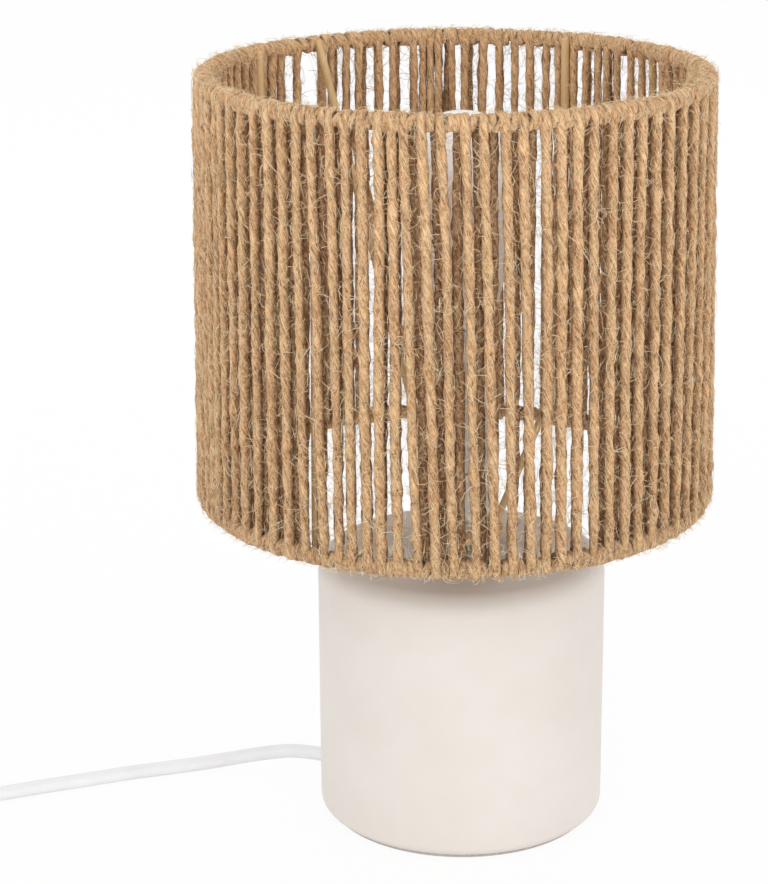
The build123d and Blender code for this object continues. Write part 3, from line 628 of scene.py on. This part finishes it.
def add_plug():
    heading = (flex_points[-1] - flex_points[-2]).normalized()
    frame_of = (flex_points[-1], (-heading.y, heading.x, 0), heading)
    rows = [(0, 3.3, 3.3, 2), (0.3, 3.75, 3.75, 2)]
    for rib in range(5):
        start, size = 1.5 + 3.9 * rib, 3.8 + 0.22 * rib
        rows += [(start, size, size, 2), (start + 0.3, size - 0.35, size - 0.35, 2),
                 (start + 1.3, size - 0.35, size - 0.35, 2), (start + 1.6, size, size, 2)]
    rows += [
        (21.5, 5.0, 5.0, 2.1), (22.3, 7.0, 6.1, 2.6), (24, 8.5, 6.6, 3.2), (28, 10.6, 6.7, 3.6),
        (34, 13.6, 6.7, 4), (40, 15.7, 6.7, 4.4), (46, 16.4, 6.7, 4.6), (52.6, 16.5, 6.7, 4.6),
        (53.5, 16.25, 6.45, 4.6), (54, 15.6, 5.8, 4.6),
    ]
    pins, sleeves = [], []
    for side in (-9.3, 9.3):
        sleeve = sections([(53.6, 2.04, 2.04, 2), (62.8, 2.04, 2.04, 2), (63.0, 1.95, 1.95, 2)], 24)
        sleeves.append((sleeve + np.array([side, 0, 0]), False, True))
        pin = sections([(53.5, 2.0, 2.0, 2), (71.6, 2.0, 2.0, 2), (72.3, 1.85, 1.85, 2),
                        (72.8, 1.4, 1.4, 2), (73.0, 0.7, 0.7, 2)], 24)
        pins.append((pin + np.array([side, 0, 0]), False, True))
    body = fitting("plug_moulding", "plug_body", "switch", "lamp_base",
                   [(sections(rows, 72), False, True)] + sleeves, frame_of)
    prongs = fitting("plug_prongs", "plug_pins", "nickel", "lamp_base", pins, frame_of)
    return [body, prongs]


def add_tie():
    across = SWITCH_DIR
    side = Vector((across.y, -across.x, 0))
    centre = Vector((COIL_X, COIL_Y, 0)) + side * COIL_R
    middle = centre + across * ((TIE_IN + TIE_OUT) * 0.0005) + Vector((0, 0, (TIE_LOW + TIE_HIGH) * 0.0005))
    half_l, half_h = (TIE_OUT - TIE_IN) / 2, (TIE_HIGH - TIE_LOW) / 2
    rows = []
    for height, share, power in (
        (-3.0, 0, 12), (-3.0, 0.7, 9), (-2.8, 1, 9), (2.8, 1, 9), (3.0, 0.7, 9), (3.0, 0, 12),
    ):
        rows.append((height, half_l + TIE_THICK * share, half_h + TIE_THICK * share, power))
    return [fitting("coil_band", "coil_tie", "switch", "lamp_base",
                    [(sections(rows, 96), True, False)], (middle, across, side))]


def add_grommet():
    rows = [
        (-6.6, 3.05), (-6.6, 4.05), (-0.05, 4.05), (-0.05, 5.3), (0.1, 5.55), (1.6, 5.55), (1.95, 5.3),
        (2.05, 4.5), (2.3, 4.2), (4.1, 3.95), (4.45, 3.65), (4.5, 3.3), (4.4, 3.05),
    ]
    bush = sections([(height, size, size, 2) for height, size in rows], 48)
    origin = EXIT_DIR * BASE_R + Vector((0, 0, EXIT_Z))
    fitting("exit_bush", "cord_grommet", "cord", "lamp_base", [(bush, True, False)],
            (origin, (0, 0, 1), EXIT_DIR))


cord_fittings = add_switch() + add_plug() + add_tie() + [nodes["switch_contacts"]]
add_grommet()


# ---------------------------------------------------------------- wire frame of the shade
def ring_place(turn, radius, height):
    return np.array([SHADE_X + radius * math.cos(turn), radius * math.sin(turn), height])


def add_wires():
    for name, node, radius, height in (
        ("top_hoop", "shade_top_ring", RING_HIGH_R, RING_HIGH_Z),
        ("bottom_hoop", "shade_bottom_ring", RING_LOW_R, RING_LOW_Z),
    ):
        turns = np.linspace(0, 2 * math.pi, 160, endpoint=False)
        section = np.linspace(0, 2 * math.pi, 12, endpoint=False)
        reach = radius + WIRE_R * np.cos(section)[None, :]
        rows = np.stack([
            SHADE_X + reach * np.cos(turns)[:, None], reach * np.sin(turns)[:, None],
            height + WIRE_R * np.sin(section)[None, :] + 0 * turns[:, None],
        ], axis=-1)
        dressed(grid_mesh(name, [(rows, True, False)]), "wire", "shade", node)
    bars = []
    for angle in STRUT_ANGLES:
        turn = math.radians(90 - angle)
        low = ring_place(turn, RING_LOW_R - 0.0033, 0.1341)
        high = ring_place(turn, RING_HIGH_R - 0.0033, 0.2969)
        bars.append((straight_tube(low, high, 0.0017, 16, 0.0006), False, True))
    dressed(grid_mesh("upright_struts", bars), "wire", "shade", "shade_struts")
    bars = []
    for angle in ARM_ANGLES:
        turn = math.radians(90 - angle)
        foot = np.array([0.0135 * math.cos(turn), 0.0135 * math.sin(turn), 0.1186])
        head = ring_place(turn, 0.0906, RING_HIGH_Z)
        head = head + (head - foot) * (0.0018 / (head - foot)[2])
        bars.append((straight_tube(foot, head, 0.0015, 16, 0.0005), False, True))
    dressed(grid_mesh("spider_rods", bars), "wire", "shade", "shade_arms")


add_wires()


# ---------------------------------------------------------------- jute string
# Degrees from +X about the shade's axis, at the top and the bottom ring, of the strings at the front,
# and of those at the back, outside and inside the rings
FRONT_OUT = [
    (196.7, 198.8), (200.9, 202.2), (204.9, 205.6), (208.1, 209.4), (212.3, 213.6), (216.8, 217.5),
    (221.1, 221.8), (225.5, 226.7), (229.6, 231.2), (233.6, 235.6), (237.3, 240.4), (241.8, 243.9),
    (245.3, 246.8), (248.9, 250.1), (252.6, 253.3), (255.5, 256.8), (257.9, 261.0), (261.6, 264.8),
    (265.4, 268.5), (270.5, 273.1), (274.2, 277.1), (278.7, 280.8), (282.5, 284.6), (287.2, 287.8),
    (290.6, 291.4), (294.5, 295.1), (298.3, 298.9), (303.1, 303.1), (307.2, 307.2), (311.2, 311.1),
    (315.7, 315.5), (320.4, 319.7), (325.8, 324.5), (331.4, 329.2), (337.5, 334.1), (344.8, 340.3),
]
FRONT_IN = [
    (234.2, 233.1), (238.6, 238.2), (242.6, 242.3), (244.7, 245.7), (248.5, 249.2), (253.3, 252.3),
    (255.6, 256.2), (258.8, 262.1), (260.2, 262.5), (264.3, 266.1), (269.3, 269.9), (273.0, 274.5),
    (276.5, 277.0), (281.4, 280.9), (285.0, 285.0), (288.4, 288.8), (292.8, 292.3), (298.1, 296.0),
    (303.3, 302.8),
]
BACK_OUT = [
    29.7, 33.9, 37.8, 41.5, 46.0, 48.4, 51.6, 54.3, 58.7, 62.1, 65.5, 69.7, 73.5, 77.2, 81.7, 84.9,
    90.0, 92.4, 94.4, 96.1, 98.8, 102.8, 107.6, 111.5, 115.6, 119.0, 122.5, 129.8, 134.5,
]
BACK_IN = [
    26.2, 30.9, 35.2, 39.1, 43.7, 46.9, 49.7, 53.4, 56.9, 61.3, 64.6, 69.0, 72.9, 77.1, 80.9, 85.7,
    89.3, 92.6, 94.6, 96.4, 99.0, 104.2, 108.1, 113.3, 116.7, 121.2, 123.6, 131.4, 137.1,
]
# The unseen stretches of the outer strings, and how many each gets
SIDE_COUNT = ((134.5, 196.7, 15), (344.8, 389.7, 10))
# Degrees at the top ring of the front's two sides, where each inner string stands in a gap as the camera
# sees it, so much aside, and of the two sides out of view
FRONT_LEFT = (196.0, 233.7)
FRONT_RIGHT = (303.0, 345.0)
GAP_ASIDE, MOST_ASIDE = 2.35, 3.0
SIDE_LEFT = (137.2, 196.0)
SIDE_RIGHT = (345.0, 26.0)
# A yarn's sides, its plies and how deep they cut, and the length in which they turn once
YARN_SIDES = 12
PLIES = 2
PLY_DEPTH = 0.055
PLY_TURN = 2 * math.pi / 0.026
# The strings' way round a ring's wire and their distance from it between the rings, and the wraps
LOOP_R = WIRE_R + 0.00105
STRING_OFF = 0.00195
WRAP_HALF_DEPTH = 0.00106
WRAP_STEP = 1.55
UP = np.array([0, 0, 1.0])


def outer_turns():
    """Every outer string's angles: those seen in front and behind, and even ones between."""
    pairs = list(FRONT_OUT) + [(turn, turn + rng.normal(0, 0.5)) for turn in BACK_OUT]
    for low, high, count in SIDE_COUNT:
        for index in range(1, count + 1):
            turn = low + (high - low) * index / (count + 1) + rng.normal(0, 0.3)
            pairs.append((turn, turn + rng.normal(0, 0.5)))
    return pairs


def inner_turns(pairs):
    """Every inner string's angles: those seen in front and behind, and elsewhere one behind each gap."""
    result = list(FRONT_IN) + [(turn, turn + rng.normal(0, 0.5)) for turn in BACK_IN]
    ordered = sorted(((top % 360, low + top % 360 - top) for top, low in pairs))
    ordered.append((ordered[0][0] + 360, ordered[0][1] + 360))
    for (top, low), (top_next, low_next) in zip(ordered, ordered[1:]):
        middle = (top + top_next) / 2
        if FRONT_LEFT[0] < middle < FRONT_LEFT[1] or FRONT_RIGHT[0] < middle < FRONT_RIGHT[1]:
            aside = GAP_ASIDE * math.tan(math.radians(middle - 270))
            aside = max(-MOST_ASIDE, min(MOST_ASIDE, aside))
            result.append((middle + aside, (low + low_next) / 2 + aside))
        elif SIDE_LEFT[0] < middle < SIDE_LEFT[1] or SIDE_RIGHT[0] < middle or middle < SIDE_RIGHT[1]:
            result.append((middle + rng.normal(0, 0.3), (low + low_next) / 2 + rng.normal(0, 0.4)))
    return result


def yarn(path, side, turn, half_wide, half_deep, closed, open_sign):
    """A yarn's surface round a path that turns square to side, with its lay: the ply's turn, the length
    so far, and how far it faces the open, by which the jute material paints shade on the sides that face
    other yarns."""
    if closed:
        tangent = np.roll(path, -1, axis=0) - np.roll(path, 1, axis=0)
    else:
        tangent = np.gradient(path, axis=0)
    tangent /= np.linalg.norm(tangent, axis=1)[:, None]
    side = np.broadcast_to(side, path.shape)
    across = side - tangent * np.sum(side * tangent, axis=1)[:, None]
    across /= np.linalg.norm(across, axis=1)[:, None]
    outward = np.cross(tangent, across)
    around = np.linspace(0, 2 * math.pi, YARN_SIDES, endpoint=False)[None, :]
    lay_turn = around - turn[:, None]
    rough = rng.normal(0, 0.11, lay_turn.shape)
    rough = (rough + np.roll(rough, 1, axis=0) + np.roll(rough, 2, axis=0)) / 3
    swell = 1 + PLY_DEPTH * np.cos(PLIES * lay_turn) + 0.03 * np.cos(5 * lay_turn + 1) + rough
    wide = half_wide[:, None] * swell * np.cos(around)
    deep = half_deep[:, None] * swell * np.sin(around)
    points = path[:, None, :] + wide[:, :, None] * across[:, None, :]
    points = points + deep[:, :, None] * outward[:, None, :]
    steps = np.linalg.norm(np.diff(path, axis=0), axis=1)
    travel = np.concatenate([[0], np.cumsum(steps)]) + rng.uniform(0, 5)
    # The share by which each point faces the open, 1 outward and 0 towards the other yarns, for the jute's
    # painted shade.
    painted_shade_facing = 0.5 + 0.5 * open_sign * np.sin(around) + 0 * lay_turn
    lay = np.stack([np.cos(lay_turn), np.sin(lay_turn), travel[:, None] + 0 * lay_turn, painted_shade_facing], axis=-1)
    return points, lay


def wander(steps, size):
    """A smooth random drift that starts and ends at nothing."""
    drift = np.cumsum(np.cumsum(rng.normal(0, 1, (steps, 2)), axis=0), axis=0)
    share = np.linspace(0, 1, steps)[:, None]
    drift = drift - share * drift[-1] - (1 - share) * drift[0]
    drift -= np.sin(math.pi * share) * drift[steps // 2] * 0.6
    return drift / max(1e-9, np.abs(drift).max()) * size


def upright(top_deg, low_deg, side_sign):
    """One upright string, outside (1) or inside (-1) the rings. An outer one also goes round the wires."""
    rows = []
    turn_top, turn_low = math.radians(top_deg), math.radians(low_deg)
    high = ring_place(turn_top, RING_HIGH_R, RING_HIGH_Z)
    low = ring_place(turn_low, RING_LOW_R, RING_LOW_Z)
    out_top = np.array([math.cos(turn_top), math.sin(turn_top), 0])
    out_low = np.array([math.cos(turn_low), math.sin(turn_low), 0])
    if side_sign > 0:
        for deg in np.linspace(205, 0, 12)[:-1]:
            t = math.radians(deg)
            rows.append((high + LOOP_R * (math.cos(t) * out_top + math.sin(t) * UP), 1.0))
    steps = 112
    drift = wander(steps + 1, rng.uniform(0.0003, 0.0008))
    for index in range(steps + 1):
        share = index / steps
        flatness = max(0.0, 1 - share / 0.035, 1 - (1 - share) / 0.035)
        out = out_top * (1 - share) + out_low * share
        offset = side_sign * (STRING_OFF + (LOOP_R - STRING_OFF) * flatness)
        place = high * (1 - share) + low * share + out * offset
        place = place + np.cross(UP, out) * drift[index, 0] + out * drift[index, 1] * 0.3
        rows.append((place, flatness))
    if side_sign > 0:
        for deg in np.linspace(0, -205, 12)[1:]:
            t = math.radians(deg)
            rows.append((low + LOOP_R * (math.cos(t) * out_low + math.sin(t) * UP), 1.0))
    path = np.array([row[0] for row in rows])
    flat = np.array([row[1] for row in rows])
    side = np.cross(UP, out_top + out_low)
    side /= np.linalg.norm(side)
    travel = np.concatenate([[0], np.cumsum(np.linalg.norm(np.diff(path, axis=0), axis=1))])
    at_rear = REAR[0] < top_deg % 360 < REAR[1]
    thick = STRING_R * rng.uniform(*(REAR_THICKNESS if at_rear else THICKNESS))
    slow = 0.08 * np.sin(travel * rng.uniform(120, 300) + rng.uniform(0, 6))
    thick = thick * (1 + slow + 0.05 * np.sin(travel * rng.uniform(500, 900)))
    turn = -PLY_TURN * travel + rng.uniform(0, 6)
    points, lay = yarn(path, side, turn, thick, thick * (1 - 0.36 * flat), False, side_sign)
    return points, False, True, lay


def hitch(deg, ring_r, height):
    """One turn of the string round a ring's wire."""
    turn = math.radians(deg)
    out = np.array([math.cos(turn), math.sin(turn), 0])
    side = np.cross(UP, out)
    centre = ring_place(turn, ring_r, height)
    count = 24
    around = np.linspace(0, 2 * math.pi, count, endpoint=False)
    loop_r = LOOP_R + rng.uniform(-0.0004, 0.0002)
    path = centre + loop_r * (np.cos(around)[:, None] * out + np.sin(around)[:, None] * UP)
    lean = rng.normal(0.0006, 0.0009)
    path = path + (lean * np.sin(around + rng.uniform(-0.8, 0.8)))[:, None] * side
    width = np.full(count, STRING_R * rng.uniform(0.85, 1.1))
    depth = np.full(count, WRAP_HALF_DEPTH * rng.uniform(0.9, 1.0))
    points, lay = yarn(path, side, -around + rng.uniform(0, 6), width, depth, True, -1)
    return points, True, False, lay


def split(blocks, count):
    """The blocks in so many runs, by the angle of their first point."""
    runs = [[] for _ in range(count)]
    for block in blocks:
        first = block[0].reshape(-1, 3).mean(axis=0)
        turn = math.atan2(first[1], first[0] - SHADE_X) % (2 * math.pi)
        runs[int(turn / (2 * math.pi) * count) % count].append(block)
    return runs


def add_string_piece(name, blocks):
    dressed(grid_mesh(name, blocks), "jute", "shade", "jute_winding")


outer = outer_turns()
inner = inner_turns(outer)
outside = [upright(top, low, 1) for top, low in outer]
inside = [upright(top, low, -1) for top, low in inner]
wraps = []
for part, radius, height in ((0, RING_HIGH_R, RING_HIGH_Z), (1, RING_LOW_R, RING_LOW_Z)):
    angles = sorted(pair[part] % 360 for pair in outer)
    turns = []
    for here, after in zip(angles, angles[1:] + [angles[0] + 360]):
        fill = max(0, round((after - here) / WRAP_STEP) - 1)
        turns += [here + (after - here) * (item + 1) / (fill + 1) for item in range(fill)]
    wraps.append([hitch(turn, radius, height) for turn in turns])
for index, run in enumerate(split(outside + inside, 4)):
    add_string_piece(f"jute_strings_{index + 1}", run)
add_string_piece("jute_top_wraps", wraps[0])
add_string_piece("jute_bottom_wraps", wraps[1])


def hair_roots(blocks, per_block):
    """Random points of the yarns' surfaces, with the ways out of the yarn and along it there."""
    roots, aways, alongs = [], [], []
    for points, closed, *_ in blocks:
        rows, cols = points.shape[:2]
        row = rng.integers(0 if closed else 1, rows if closed else rows - 1, per_block)
        col = rng.integers(0, cols, per_block)
        centres = points.mean(axis=1)
        place = points[row, col]
        away = place - centres[row]
        roots.append(centres[row] + 0.9 * away)
        aways.append(away / np.linalg.norm(away, axis=1)[:, None])
        along = centres[(row + 1) % rows] - centres[row - 1]
        alongs.append(along / np.linalg.norm(along, axis=1)[:, None])
    return roots, aways, alongs


def kept_near(points, reach):
    """The points with what strays beyond the shade's outside drawn back to it, but for a short reach."""
    x, y, z = points[:, 0:1] - SHADE_X, points[:, 1:2], points[:, 2:3]
    share = np.clip((z - RING_LOW_Z) / (RING_HIGH_Z - RING_LOW_Z), 0, 1)
    most = RING_LOW_R + (RING_HIGH_R - RING_LOW_R) * share + WRAP_R + reach
    radius = np.hypot(x, y)
    shrink = np.where(radius > most, (most + 0.12 * (radius - most)) / radius, 1.0)
    top, low = RING_HIGH_Z + WRAP_R + reach, RING_LOW_Z - WRAP_R - reach
    z = np.where(z > top, top + 0.12 * (z - top), np.where(z < low, low + 0.12 * (z - low), z))
    return np.concatenate([SHADE_X + x * shrink, y * shrink, z], axis=1)


def fibres(roots, aways, alongs):
    """Thin curling three-sided hairs that lie on the yarn or stand off it a little."""
    number = len(roots)

    def pick(low, high):
        return rng.uniform(low, high, (number, 1))

    lengths = np.clip(rng.gamma(2.6, 0.0015, (number, 1)) + 0.0015, 0, 0.011)
    cross = np.cross(aways, alongs)
    headings = aways * pick(0.2, 0.9) + alongs * rng.choice((-1.0, 1.0), (number, 1)) * pick(0.2, 1.0)
    headings = headings + cross * rng.normal(0, 0.8, (number, 1))
    headings /= np.linalg.norm(headings, axis=1)[:, None]
    sideways = np.cross(headings, aways + 0.3 * rng.normal(0, 1, (number, 3)))
    sideways /= np.linalg.norm(sideways, axis=1)[:, None]
    other = np.cross(headings, sideways)
    wave = pick(1.5, 5.0)
    curl = rng.normal(0, 0.16, (number, 1))
    bow = rng.normal(0, 0.22, (number, 1))
    start = pick(0, 6)
    reach = np.clip(rng.gamma(2.0, 0.00045, (number, 1)), 0.0003, 0.0024)
    rows = []
    for share in (0.0, 0.25, 0.5, 0.75, 1.0):
        swing = curl * (np.cos(start + wave * share) - np.cos(start)) + bow * share**2
        point = headings * share + sideways * swing
        point = point + other * curl * (np.sin(start + wave * share) - np.sin(start))
        point = point * lengths
        height = np.sum(point * aways, axis=1)[:, None]
        kept = np.where(height > 0, reach * np.tanh(height / reach), 0.2 * height)
        rows.append(kept_near(roots + point + (kept - height) * aways, 0.3 * reach))
    path = np.stack(rows, axis=1)
    turns = np.linspace(0, 2 * math.pi, 3, endpoint=False)
    cos, sin = np.cos(turns)[None, :, None], np.sin(turns)[None, :, None]
    ring = cos * sideways[:, None, :] + sin * other[:, None, :]
    sizes = pick(0.00008, 0.00015)
    taper = np.array([1, 0.95, 0.85, 0.7, 0.35])
    points = path[:, :, None, :] + (sizes * taper)[:, :, None, None] * ring[:, None, :, :]
    return [(hair, False, True) for hair in points]


def add_fuzz():
    """Loose fibres on the strings and the wraps."""
    parts = [
        hair_roots(outside, HAIRS_OUTSIDE), hair_roots(inside, HAIRS_INSIDE),
        hair_roots(wraps[0], HAIRS_TOP_WRAP), hair_roots(wraps[1], HAIRS_LOW_WRAP),
    ]
    joined = [np.concatenate([array for part in parts for array in part[index]]) for index in range(3)]
    for index, run in enumerate(split(fibres(*joined), 7)):
        piece = finished(grid_mesh(f"jute_fibres_{index + 1}", run), "fibre", "shade")


add_fuzz()


# ---------------------------------------------------------------- finishes of the CAD pieces that stay
FINISH = {
    "glaze": "glaze", "felt": "felt", "cord_white": "cord", "zinc": "zinc", "brass": "brass",
    "nickel": "nickel", "wire": "wire", "holder_plastic": "holder", "bulb_plastic": "bulb", "opal": "opal",
    "switch_plastic": "switch", "jute": "jute",
}
for node in nodes.values():
    slot_name = node.data.materials[0].name.split(".")[0]
    node.data.materials[0] = M[FINISH[slot_name]]


# ---------------------------------------------------------------- stage
def seen_share(tree):
    """1 for what the camera sees, straight, in gloss or through glass, and 0 for the light on the lamp."""
    path = add(tree, "ShaderNodeLightPath")
    total = path.outputs["Is Camera Ray"]
    for name in ("Is Glossy Ray", "Is Transmission Ray"):
        node = add(tree, "ShaderNodeMath", operation="MAXIMUM")
        tree.links.new(total, node.inputs[0])
        tree.links.new(path.outputs[name], node.inputs[1])
        total = node.outputs[0]
    return total


def add_stage():
    mesh = bpy.data.meshes.new("floor")
    half = 15.0
    corners = [(-half, -half, 0), (half, -half, 0), (half, half, 0), (-half, half, 0)]
    mesh.from_pydata(corners, [], [(0, 1, 2, 3)])
    floor = bpy.data.objects.new("floor", mesh)
    bpy.context.scene.collection.objects.link(floor)
    floor.location.z = -0.0002
    mat = bpy.data.materials.new("floor")
    mat.use_nodes = True
    tree = mat.node_tree
    tree.nodes.clear()
    out = add(tree, "ShaderNodeOutputMaterial")
    matte = add(tree, "ShaderNodeBsdfDiffuse")
    matte.inputs["Color"].default_value = (0.97, 0.97, 0.97, 1)
    glow = add(tree, "ShaderNodeEmission")
    glow.inputs["Color"].default_value = (1, 1, 1, 1)
    glow.inputs["Strength"].default_value = 1.0
    seen = seen_share(tree)
    share = add(tree, "ShaderNodeMath", operation="MULTIPLY")
    tree.links.new(seen, share.inputs[0])
    share.inputs[1].default_value = 0.92
    mix = add(tree, "ShaderNodeMixShader")
    tree.links.new(share.outputs[0], mix.inputs["Fac"])
    tree.links.new(matte.outputs[0], mix.inputs[1])
    tree.links.new(glow.outputs[0], mix.inputs[2])
    tree.links.new(mix.outputs[0], out.inputs["Surface"])
    mesh.materials.append(mat)

    world = bpy.data.worlds.new("world")
    bpy.context.scene.world = world
    world.use_nodes = True
    tree = world.node_tree
    tree.nodes.clear()
    out = add(tree, "ShaderNodeOutputWorld")
    seen_sky = add(tree, "ShaderNodeBackground")
    seen_sky.inputs["Color"].default_value = (1, 1, 1, 1)
    seen_sky.inputs["Strength"].default_value = 1.0
    sky = add(tree, "ShaderNodeBackground")
    sky.inputs["Color"].default_value = (1, 1, 1, 1)
    sky.inputs["Strength"].default_value = 0.84
    seen = seen_share(tree)
    mix = add(tree, "ShaderNodeMixShader")
    tree.links.new(seen, mix.inputs["Fac"])
    tree.links.new(sky.outputs[0], mix.inputs[1])
    tree.links.new(seen_sky.outputs[0], mix.inputs[2])
    tree.links.new(mix.outputs[0], out.inputs["Surface"])

    for name, place, power in (
        ("key", (-0.8, -1.6, 0.9), 7),
        ("fill", (1.2, -1.3, 0.5), 5),
        ("back", (0.2, 1.4, 1.4), 4),
    ):
        data = bpy.data.lights.new(name, "AREA")
        data.shape = "SQUARE"
        data.size = 1.2
        data.energy = power
        lamp = bpy.data.objects.new(name, data)
        bpy.context.scene.collection.objects.link(lamp)
        lamp.location = place
        aim = Vector((0, 0, 0.18)) - Vector(place)
        lamp.rotation_euler = aim.to_track_quat("-Z", "Y").to_euler()


add_stage()
bpy.context.scene.view_settings.view_transform = "Standard"
